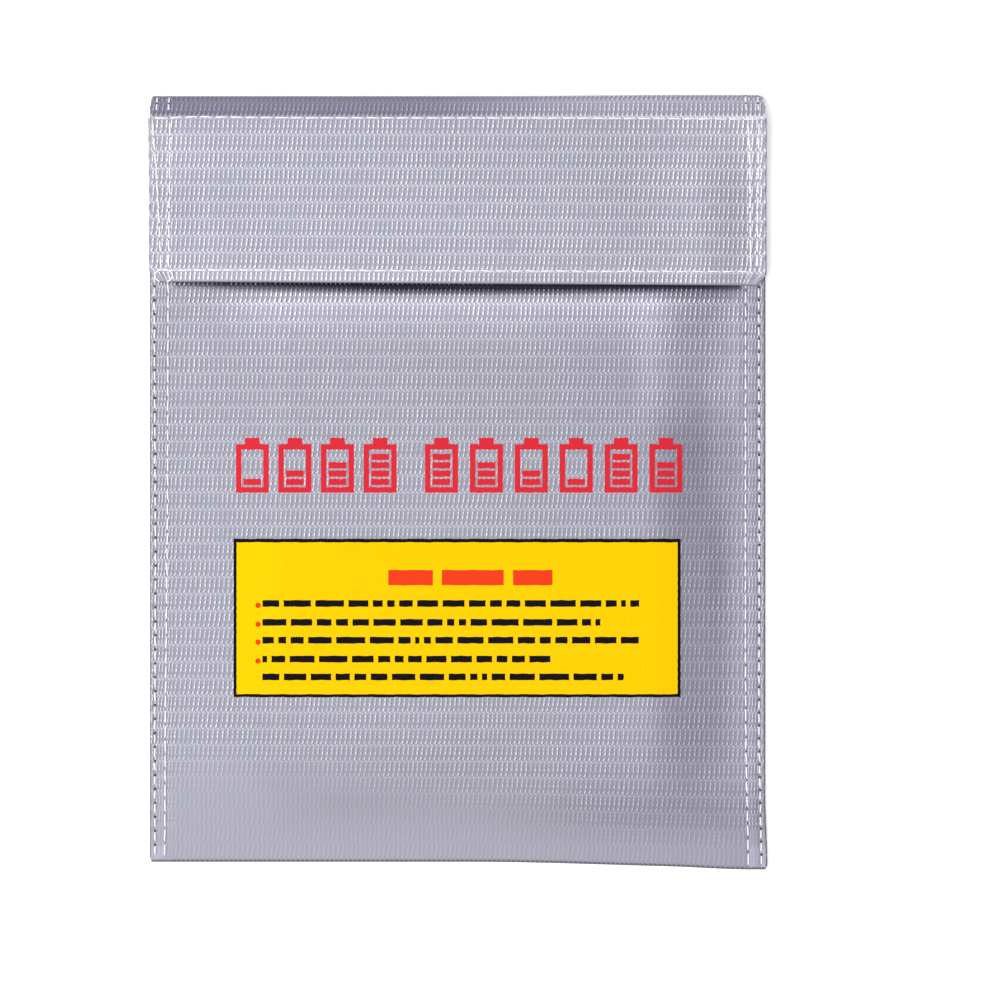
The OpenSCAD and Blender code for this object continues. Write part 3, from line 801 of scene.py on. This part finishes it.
for word, spots, pitch, share, seed, hole in (
    ("left_outer", [(-114.6, 134), (-115.2, 70), (-114.7, -30), (-115.0, -100), (-114.9, -145.6)],
     5.35, 0.62, 11, 0.00058),
    ("left_inner", [(-110.4, 134), (-109.9, 70), (-110.2, -20), (-110.9, -90), (-111.2, -145.6)],
     5.7, 0.78, 12, 0.00012),
    ("right_outer", [(114.4, 134), (114.5, 70), (114.7, -20), (114.6, -100), (114.8, -146.2)],
     4.9, 0.66, 13, 0.00058),
    ("right_inner", [(110.0, 134), (109.5, 70), (109.4, -60), (109.6, -100), (109.9, -146.2)],
     5.5, 0.76, 14, 0.0003),
):
    crept = [tuple(float(v) for v in settle(*spot)) for spot in spots]
    sew(f"side_thread_{word}", [(crept, pitch, share)], plain_face, "pouch", seed, hole)
sew("mouth_thread", [([(-106, 129), (106, 129)], 5.6, 0.72)], face, "pouch", 15)
tape_rows = [([(-103, TAPE_Y + s), (103, TAPE_Y + s)], 5.0, 0.72) for s in (1.75, 23.25)]
sew("loop_tape_thread", tape_rows, lambda x, y: face(x, y) + TAPE_THICK + 0.02, "pouch", 16)

# ---------------------------------------------------------------------------
# Prints: opaque ink screened on the front: red cells above a yellow panel with a
# black border, and plain bars and dots on it. The weave shows through a little.
INK_DEPTH = 0.05
LOW_INK, MID_INK, TOP_INK = 0.02, 0.05, 0.075  # heights of the three layers of ink


def ink(name, colour, slot_name):
    """Opaque ink that lets a little of the weave show."""
    finish, skin = new_finish(name, Roughness=0.7, Specular_IOR_Level=0.03)
    put, maths, wire = tools(finish.node_tree)
    weave = put("ShaderNodeGroup", node_tree=bpy.data.node_groups["glass weave"])
    thick, thin = [c * 0.96 for c in colour], [min(1.0, c * 1.05 + 0.002) for c in colour]
    wire(ramp(put, weave.outputs["Bright"], (0.2, thick), (0.6, thin)), skin, "Base Color")
    bump = put("ShaderNodeBump", {"Strength": 0.12, "Distance": FINE, "Height": weave.outputs["Relief"]})
    wire(bump.outputs[0], skin, "Normal")
    finish["slot"] = slot_name
    return finish


def printed(name, shapes, lift, finish):
    """One mesh of thin ink patches that follow the cloth. A shape is a rectangle
    (low x, low y, high x, high y) or a dot (x, y, radius)."""
    step, sides = 1.6, 10
    points, faces, spots = [], [], 0
    for shape in shapes:
        if len(shape) == 3:
            turns = np.arange(sides) * 2 * math.pi / sides
            rim = np.stack([shape[0] + shape[2] * np.cos(turns), shape[1] + shape[2] * np.sin(turns)], -1)
            for h in (lift + INK_DEPTH, lift):
                points += [(px, py, float(face(px, py)) + h) for px, py in rim]
            top = list(range(spots, spots + sides))
            low = list(range(spots + sides, spots + 2 * sides))
            faces += [top, low[::-1]]
            faces += [
                [low[i], low[(i + 1) % sides], top[(i + 1) % sides], top[i]] for i in range(sides)
            ]
            spots += 2 * sides
            continue
        nx = max(2, int(math.ceil((shape[2] - shape[0]) / step)) + 1)
        ny = max(2, int(math.ceil((shape[3] - shape[1]) / step)) + 1)
        x, y = np.meshgrid(np.linspace(shape[0], shape[2], nx), np.linspace(shape[1], shape[3], ny))
        y = y + 0.06 * np.sin(x * 3.4 + y) + 0.05 * np.sin(x * 1.3)
        x = x + 0.07 * np.sin(y * 2.1 + x * 0.2)
        z = face(x, y)
        for h in (lift + INK_DEPTH, lift):
            points += np.stack([x, y, z + h], -1).reshape(-1, 3).tolist()
        at = np.arange(nx * ny).reshape(ny, nx) + spots
        n = nx * ny
        top = np.stack([at[:-1, :-1], at[:-1, 1:], at[1:, 1:], at[1:, :-1]], -1).reshape(-1, 4)
        faces += top.tolist() + (top[:, ::-1] + n).tolist()
        rim = np.concatenate([at[0, :-1], at[:-1, -1], at[-1, :0:-1], at[:0:-1, 0]])
        after = np.roll(rim, -1)
        faces += np.stack([rim + n, after + n, after, rim], -1).tolist()
        spots += 2 * n
    mesh = bpy.data.meshes.new(name)
    points = np.array(points)
    mesh.from_pydata((points * MM).tolist(), [], faces)
    lay_weave(mesh, points[:, :2] + (0, WEAVE_START))
    mesh.materials.append(finish)
    made = placed(name, mesh)
    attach(made, "pouch")
    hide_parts(name)


red_ink = ink("red_ink", (0.63, 0.024, 0.038), "red_ink")
yellow_ink = ink("yellow_ink", (0.94, 0.54, 0.0004), "yellow_ink")
black_ink = ink("black_ink", (0.006, 0.006, 0.007), "black_ink")

cells = []
CELL_W, CELL_H, CAP_H, WALL, ROOM = 12.6, 20.9, 2.4, 2.1, 0.8
for first, wide, levels in ((-84.6, 61.4, (1, 2, 3, 4)), (-12.4, 98.2, (4, 3, 2, 1, 4, 3))):
    count = len(levels)
    between = wide / (count - 1) - CELL_W * count / (count - 1)
    for i, level in enumerate(levels):
        left, low = first + i * (CELL_W + between), -4.1
        right, high = left + CELL_W, low + CELL_H - CAP_H
        cells += [
            (left, low, left + WALL, high),
            (right - WALL, low, right, high),
            (left + WALL, low, right - WALL, low + WALL),
            (left + WALL, high - WALL, right - WALL, high),
            (left + 3.5, high, right - 3.5, high + CAP_H),
        ]
        bar = (CELL_H - CAP_H - 2 * WALL - 2 * ROOM) / 4
        for k in range(level):
            foot = low + WALL + k * bar
            cells.append(
                (left + WALL + ROOM, low + WALL + ROOM + k * bar, right - WALL - ROOM, foot + bar)
            )
printed("icon_print", cells, LOW_INK, red_ink)

left, low, right, high = -85.5, -82.1, 85.1, -21.7
printed("panel_print", [(left + 0.8, low + 0.8, right - 0.8, high - 0.8)], LOW_INK, yellow_ink)
edge = 1.15  # width of the border's lines
border = [
    (left, low, right, low + edge),
    (left, high - 1.35, right, high),
    (left, low + edge, left + edge, high - edge),
    (right - edge, low + edge, right, high - edge),
]
printed("panel_border", border, MID_INK, black_ink)
overprint = ink("red_on_yellow", (0.78, 0.045, 0.012), "red_ink")
words = [(a, -39.4, b, -33.6) for a, b in ((-26.4, -9.4), (-6.0, 17.6), (21.2, 36.2))]
printed("panel_heading", words, TOP_INK, overprint)
bars = []
line_feet, line_ends = (-47.6, -54.8, -61.6, -68.8, -75.6), (77.0, 60.0, 72.0, 38.0, 66.0)
for i, (low, limit) in enumerate(zip(line_feet, line_ends)):
    spot = -74.4
    for j in range(30):
        size = 6.4 + 3.4 * math.sin(1.7 * i + 1.06 * j) + 1.6 * math.sin(0.72 * j - 0.4 * i)
        if spot + size > limit:
            break
        bars.append((spot, low, spot + size, low + 2.5))
        spot += size + 1.7
printed("panel_bars", bars, TOP_INK, black_ink)
printed("panel_dots", [(-76.1, low + 0.5, 1.05) for low in line_feet[:4]], TOP_INK, overprint)

# ---------------------------------------------------------------------------
# Flap: the strip of silver cloth goes on over the top fold to make the flap, rolls round
# the free edge and comes back as its lining. Both layers are sewn together all round.
FLAP_HALF = 116.9
FLAP_TOP = 10.6
FLAP_BACK = 139.9  # where the flap leaves the top fold
LINING_TOP = 138.4
LAYERS_APART = 0.04  # between the flap's outer cloth and its lining


def free_edge(x):
    """Where the flap's free edge lies; it isn't quite square."""
    return 75.45 - 0.75 * x / 117


def flap_rows(x, y):
    """How deep the rows of stitches all round the flap pull its cloth in."""
    pull = 0
    for off, along, pitch in (
        (y - 80.3, x, 5.8),
        (y - 138.6, x, 5.8),
        (np.abs(x) - 110.3, y, 5.6),
        (np.abs(x) - 114.2, y, 5.6),
    ):
        pull = pull + bell(off / 0.7) * (0.6 + 0.4 * np.cos(2 * np.pi * along / pitch))
    return 0.16 * np.minimum(pull, 1.0)


def flap_sag(x, y):
    """How far the flap hangs below a flat board: down at its sides and free edge."""
    away = ease((FLAP_BACK - y) / 30)
    sides = (2.6 - 1.0 * (x > 0)) * ease((np.abs(x) - 90) / 28) * away
    lip = 0.9 * ease((81.5 - y) / 6.5)
    return sides + lip - 0.55 * slack(x * 1.3 + 40, y * 1.6 + 90) * away


def flap_face(x, y):
    """Height of the flap's outer side."""
    return FLAP_TOP - flap_sag(x, y) - flap_rows(x, y)


def flap_x(x, y):
    """Draws the sides in at the cut corners and follows the slightly uneven sides."""
    straight, corner = 106, 4.2
    limit = FLAP_HALF - 0.95 * np.clip(free_edge(x) + corner - y, 0, corner)
    out = np.abs(x)
    pulled = straight + (out - straight) * (limit - straight) / (FLAP_HALF - straight)
    out = np.where(out > straight, pulled, out)
    return np.sign(x) * out - 0.2 * (x < 0) + 0.2 * (x > 0)


flap_across = columns(FLAP_HALF)
spine_ts = np.linspace(0.5, 1.0, 12)
share = np.linspace(0, 1, 58)[1:]
x = np.broadcast_to(flap_across, (len(share), len(flap_across)))
y = FLAP_BACK + (free_edge(x) + CLOTH - FLAP_BACK) * share[:, None]
panel_out = np.stack([flap_x(x, y), y, flap_face(x, y)], -1)
panel_in = np.stack([flap_x(x, y), y, flap_face(x, y) - CLOTH + LAYERS_APART], -1)
turn = np.radians(np.linspace(90, 270, 9)[1:-1])
a, x = np.meshgrid(turn, flap_across, indexing="ij")
edge = free_edge(x) + CLOTH
middle = flap_face(x, edge) - CLOTH
roll_out, roll_in = (
    np.stack([flap_x(x, edge), edge + radius * np.cos(a), middle + radius * np.sin(a)], -1)
    for radius in (CLOTH, LAYERS_APART)
)
back_share = np.linspace(0, 1, 24)
x = np.broadcast_to(flap_across, (len(back_share), len(flap_across)))
y = free_edge(x) + CLOTH + (LINING_TOP - free_edge(x) - CLOTH) * back_share[:, None]
under = FLAP_TOP - flap_sag(x, y)
lining_out = np.stack([flap_x(x, y), y, under - 2 * CLOTH], -1)
lining_in = np.stack([flap_x(x, y), y, under - CLOTH - LAYERS_APART], -1)
spine_out = fold_grid(spine_ts, flap_across, CLOTH / 2)
spine_in = fold_grid(spine_ts, flap_across, -CLOTH / 2)
outer = np.concatenate([spine_out, panel_out, roll_out, lining_out])
inner = np.concatenate([spine_in, panel_in, roll_in, lining_in])

# how far along the strip each row of points lies, for the weave
run = np.concatenate(
    [
        FLAP_BACK + (1 - spine_ts) * FOLD_RUN,
        FLAP_BACK + (76.0 - FLAP_BACK) * share,
        76.0 - 0.3 * (turn - math.pi / 2),
        75.1 - 62 * back_share,
    ]
)
run = run - 2.9
uv = np.stack(np.broadcast_arrays(flap_across[None, :], run[:, None]), -1)

x, y = outer[..., 0], outer[..., 1]
SPINE, PANEL, ROLL, LINING = range(4)
counts = [len(spine_out), len(panel_out), len(roll_out), len(lining_out)]
kind = np.repeat([SPINE, PANEL, ROLL, LINING], counts)[:, None] * np.ones_like(x)
t_fold = np.concatenate([spine_ts, np.ones(len(run) - len(spine_ts))])[:, None]
on_panel = kind == PANEL
pinch = ease((79.6 - y) / 2) * ease((np.abs(x) - 110) / 2.5) * on_panel
above_row = ease((y - 137.6) / 2.2)

# worn and sheen: worn smooth and painted lighter as a sheen on the top fold, the rolled edge and the
# pinched corners
worn_and_sheen = np.where(kind == SPINE, fold_worn_and_sheen(x) * (1 - 0.8 * ease((147.0 - y) / 4.0)), 0.0)
worn_and_sheen = np.where(on_panel, -0.15 - 0.2 * ease((np.abs(x) - 107.5) / 2.5), worn_and_sheen)
worn_and_sheen = np.where(kind == ROLL, 0.9, worn_and_sheen)
worn_and_sheen = np.where(kind == LINING, 0.25, worn_and_sheen)
worn_and_sheen = worn_and_sheen + (0.9 - worn_and_sheen) * pinch

# painted shade and light: painted light on the top fold, at the right and on the strip above the edge,
# painted shade in the pinched corners
shade = fold_edge(t_fold) - fold_light(x) * (kind < ROLL) * above_row
shade = shade + 0.2 * pinch * (x > 0) + 0.05 * pinch * (x < 0)
shade = shade - on_panel * (0.15 * ease((x - 60) / 40) + 0.12 * ease((x - 105) / 5))
shade = shade - 0.16 * on_panel * ease((79.8 - y) / 1.2) * ease((20 - x) / 50) * (1 - pinch)

# cool: the top fold's violet, a painted reflection
cool = (kind == SPINE) * fold_cool(x) * above_row
flap_cloth = outwards(closed_cloth("flap_cloth", outer, inner, uv, worn_and_sheen, shade, cool))
# the flap, the same cloth as the pouch, is painted lighter: painted light
flap_cloth.data.materials.append(silver_cloth("flap_silver_cloth", 1.2))
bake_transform(flap_cloth)
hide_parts("flap_panel", "flap_lining", "top_fold")
# ---------------------------------------------------------------------------
# Rolled sides of the flap: the edges of the silver cloth, turned in between its two
# layers and held by the side rows of stitches. They draw in at the cut corners.


def rolled_ring(side, spot):
    """The section of a rolled side at one place along it."""
    lx = float(flap_x(side * FLAP_HALF, spot))
    top = float(FLAP_TOP - flap_sag(side * FLAP_HALF, spot))
    arc = [(lx + side * CLOTH * math.sin(t), top - CLOTH + CLOTH * math.cos(t)) for t in HALF_TURN]
    section = [(lx - side * 0.3, top - 0.02), *arc, (lx - side * 0.3, top - 1.18)]
    return [(xx, spot, zz) for xx, zz in section]


roll = []
for side in (-1, 1):
    edge = float(free_edge(side * 117))
    corner = np.linspace(edge + 4.2, edge + 0.5, 5)[::-1]
    straight = np.linspace(edge + 4.4, LINING_TOP, 34)
    rings = [rolled_ring(side, spot) for spot in [*corner, *straight]]
    roll.append(closed_tube("flap_rolled_edge", np.array(rings, float)))
rolled = joined(roll)
# the rolled edges are painted lighter still: a painted highlight along their round turn
rolled.data.materials.append(silver_cloth("edge_cloth", 1.5))
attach(rolled, "flap")
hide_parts("flap_rolled_edge")

# ---------------------------------------------------------------------------
# Turned-in ends of the top fold: the side hem of the silver cloth, carried over the
# fold on its inside and held by the same rows of stitches.
for side, word in ((-1, "left"), (1, "right")):
    rings = []
    for t in np.linspace(0.34, 0.86, 12):
        ring = []
        for inwards, offset in ((0, -0.32), (0, -0.9), (TUCK, -0.9), (TUCK, -0.32)):
            spot = np.array(side * (116.6 - inwards))
            yy, zz, dy, dz = fold_mid(np.array(t), spot)
            ring.append((float(spot), float(yy + dz * offset), float(zz - dy * offset)))
        rings.append(ring)
    hem = closed_tube(f"top_fold_hem_{word}", np.array(rings, float))
    hem.data.materials.append(seam_cloth)
    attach(hem, "fold")
    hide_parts(f"top_fold_hem_{word}")

# ---------------------------------------------------------------------------
# Stitches of the top fold: the same white polyester thread. The flap's two side rows
# run on over the fold to the back, with two stitches of each row on the fold.
for side, word in ((-1, "left"), (1, "right")):
    middles, ways, normals, lengths = [], [], [], []
    for row in (110.0, 114.6):
        for t in (0.56, 0.8):
            yy, zz, dy, dz = (float(v) for v in fold_mid(np.array(t), np.array(side * row)))
            middles.append((side * row, yy + dz * 0.34, zz - dy * 0.34))
            ways.append((0, dy, dz))
            normals.append((0, dz, -dy))
            lengths.append(3.3)
    name = f"top_fold_thread_{word}"
    made = grown(
        name, stitch_tree, middles, ways, normals, white_thread, "fold", long=lengths, Seed=21
    )
    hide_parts(name)

# ---------------------------------------------------------------------------
# Stitches of the flap: white thread, one row along the fold, one above the free edge and
# two down each side. The lower left corner ends in a small loose loop of thread.


def thread_bed(x, y):
    """The flap with half the pull of the stitches, for thread to lie on."""
    return flap_face(x, y) + 0.5 * flap_rows(x, y)


for word, lines, seed in (
    ("top", [([(-115.6, 138.3), (-100, 138.9), (-60, 138.5), (40, 138.4), (114.4, 138.0)], 5.8, 0.84)], 31),
    ("bottom", [([(-112.5, 80.7), (-60, 80.6), (20, 80.3), (112.0, 80.1)], 5.8, 0.84)], 32),
    (
        "left",
        [
            ([(-115.9, 137), (-113.6, 100), (-112.9, 81.5)], 5.6, 0.8),
            ([(-109.3, 137), (-109.6, 110), (-110.0, 81.5)], 5.8, 0.86),
        ],
        33,
    ),
    (
        "right",
        [
            ([(114.8, 137), (114.3, 100), (114.2, 81.5)], 5.6, 0.8),
            ([(110.6, 137), (111.3, 125), (111.7, 81.5)], 5.6, 0.82),
        ],
        34,
    ),
):
    sew(f"flap_thread_{word}", lines, thread_bed, "flap", seed)

THREAD = 0.3  # half the loose thread's thickness
rings = []
for angle in np.linspace(-0.4 * math.pi, 1.35 * math.pi, 26):
    cx, cy = -111.9 + 3.4 * math.cos(angle), 78.6 + 2.4 * math.sin(angle)
    cz = float(flap_face(cx, cy)) + 0.32
    ring = []
    for k in np.arange(6) * math.pi / 3:
        out = THREAD * math.cos(k)
        ring.append((cx + out * math.cos(angle), cy + out * math.sin(angle), cz + THREAD * math.sin(k)))
    rings.append(ring)
loose = closed_tube("corner_thread_loop", np.array(rings, float))
store(loose.data, "ply", np.repeat(np.arange(len(rings)) * 0.37, 6))
loose.data.materials.append(white_thread)
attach(loose, "flap")

# ---------------------------------------------------------------------------
# Hook tape: the other half of the closure, sewn to the lining near the free edge,
# with a field of small nylon hooks between its borders.


def lining_face(x, y):
    """Height of the lining's outer side, which faces down."""
    return FLAP_TOP - flap_sag(x, y) - 2 * CLOTH


y, x = np.meshgrid(np.linspace(TAPE_Y, TAPE_Y + TAPE_WIDTH, 14), tape_xs, indexing="ij")
high = lining_face(x, y) - 0.02
hook_tape = closed_cloth(
    "hook_tape", np.stack([x, y, high - TAPE_THICK], -1), np.stack([x, y, high], -1), np.stack([x, y], -1)
)
outwards(hook_tape)
hook_tape.data.materials.append(tape_woven)
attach(hook_tape, "flap")
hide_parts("hook_tape")

hook_step = 1.5
xs = np.arange(-TAPE_HALF + 0.8, TAPE_HALF - 0.6, hook_step)
ys = np.arange(TAPE_Y + 4.0, TAPE_Y + 21.2, hook_step)
x, y = (g.ravel() for g in np.meshgrid(xs, ys))
hooks = grown(
    "hook_field",
    tufts_tree("hook field", 0.00010, 0.0006, 4),
    np.stack([x, y, lining_face(x, y) - 0.52], -1),
    (1, 0, 0),
    (0, 0, -1),
    nylon_pile,
    "flap",
)
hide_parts("hook_field")

sew("hook_tape_thread", tape_rows, lambda x, y: lining_face(x, y) - 0.52, "flap", 41, 0.00042, side=-1)

# ---------------------------------------------------------------------------
# Table, light and camera: a plain white table, a wide soft light from above and
# from the pouch's bottom side, and a long lens straight above.
mesh = bpy.data.meshes.new("table")
low = -0.0004
mesh.from_pydata([(-3, -3, low), (3, -3, low), (3, 3, low), (-3, 3, low)], [], [(0, 1, 2, 3)])
white, skin = new_finish(
    "white_table",
    Base_Color=(0.93, 0.93, 0.93, 1),
    Roughness=0.9,
    Emission_Color=(1, 1, 1, 1),
    Emission_Strength=0.3,
)
mesh.materials.append(white)
placed("table", mesh)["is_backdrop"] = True

sky = bpy.data.worlds.new("studio")
sky.use_nodes = True
sky.node_tree.nodes["Background"].inputs["Color"].default_value = (1, 1, 1, 1)
sky.node_tree.nodes["Background"].inputs["Strength"].default_value = 0.15
bpy.context.scene.world = sky


def soft_light(name, place, aim, size, power):
    """A wide rectangular lamp at a place, aimed at a point."""
    lamp = bpy.data.lights.new(name, "AREA")
    lamp.shape, lamp.size, lamp.size_y, lamp.energy = "RECTANGLE", size[0], size[1], power
    made = bpy.data.objects.new(name, lamp)
    made.location = place
    way = np.array(aim) - np.array(place)
    made.rotation_euler = (
        math.acos(-way[2] / np.linalg.norm(way)),
        0,
        math.atan2(way[1], way[0]) - math.pi / 2,
    )
    made.visible_camera = False
    bpy.context.collection.objects.link(made)
    made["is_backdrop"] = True


soft_light("overhead", (-0.25, -0.12, 1.9), (0.05, 0.02, 0), (1.5, 1.2), 37)
soft_light("side_fill", (-1.35, -0.35, 1.25), (0, 0, 0), (1.0, 1.0), 15)

VIEW_WIDTH, DISTANCE = 0.38095, 1.8  # metres
lens = bpy.data.cameras.new("camera")
lens.sensor_width = 36
lens.lens = lens.sensor_width * DISTANCE / VIEW_WIDTH
lens.clip_end = 20
camera = bpy.data.objects.new("camera", lens)
camera.location = (0.0162, -0.0069, 1.808)
bpy.context.collection.objects.link(camera)
bpy.context.scene.camera = camera
bpy.context.scene.view_settings.view_transform = "Standard"

low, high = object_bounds()
{"cad": [list(cad_low), list(cad_high)], "visual": [list(low), list(high)]}
